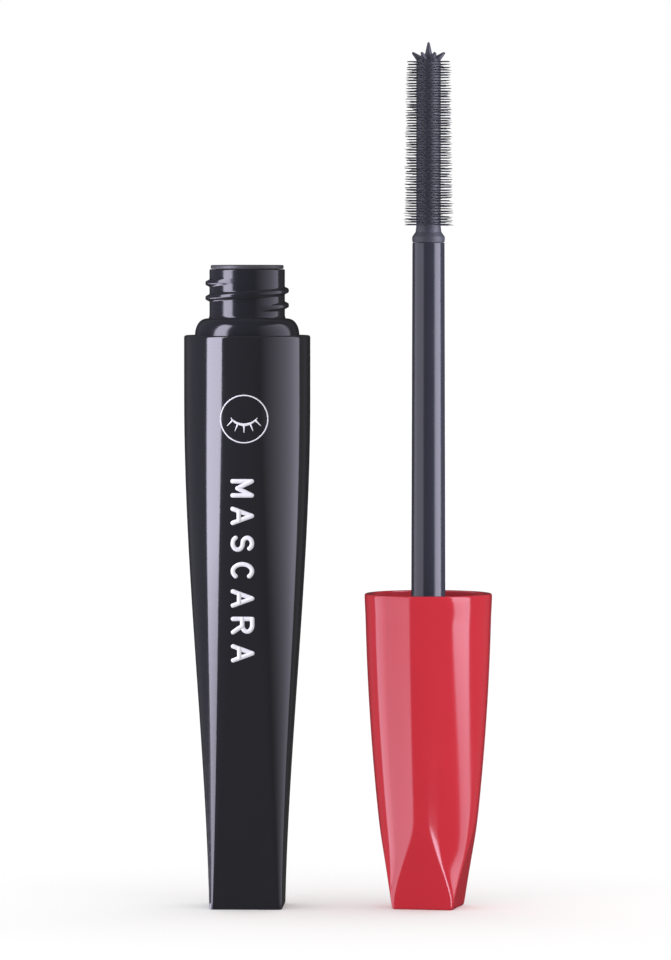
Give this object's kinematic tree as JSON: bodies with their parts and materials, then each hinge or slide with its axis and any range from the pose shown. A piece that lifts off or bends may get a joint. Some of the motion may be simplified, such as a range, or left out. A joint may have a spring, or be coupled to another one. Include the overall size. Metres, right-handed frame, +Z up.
{
  "type": "mascara tube with brush applicator",
  "caption": "Opened mascara pack: upright bottle with threaded neck and wiper, and the cap standing inverted with its wand and moulded brush pointing up.",
  "frame": {"origin": "middle of the footprint, on the surface that the bottle and the inverted cap stand on", "axes": "+Z up, along both the bottle and the wand; +X from the bottle's axis to the applicator's; -Y towards the front"},
  "size_m": [0.044, 0.0182, 0.1234],
  "materials": {
    "gloss_black": "high gloss moulded",
    "neck_black": "gloss moulded",
    "wiper_grey": "soft satin",
    "label_white": "satin film",
    "gloss_red": "high gloss moulded",
    "liner_black": "satin moulded",
    "seal_white": "soft foam",
    "stem_black": "satin gloss",
    "brush_grey": "matte elastomer"
  },
  "bodies": {
    "bottle": {"bottle_sleeve": "gloss_black", "inner_bottle": "neck_black", "wiper": "wiper_grey", "base_label": "label_white"},
    "seal": {"seal_gasket": "seal_white"},
    "applicator": {"cap_shell": "gloss_red", "inner_cap": "liner_black", "wand_stem": "stem_black", "brush": "brush_grey"}
  },
  "joints": [
    {"name": "applicator_lift", "type": "slide", "parent": "bottle", "child": "seal", "axis": [0, 0, 1], "range_m": [0, 0.09]},
    {"name": "cap_turn", "type": "hinge", "parent": "seal", "child": "applicator", "pos_m": [0.01285, 0, 0.0342], "axis": [0, 0, -1], "continuous": true}
  ]
}
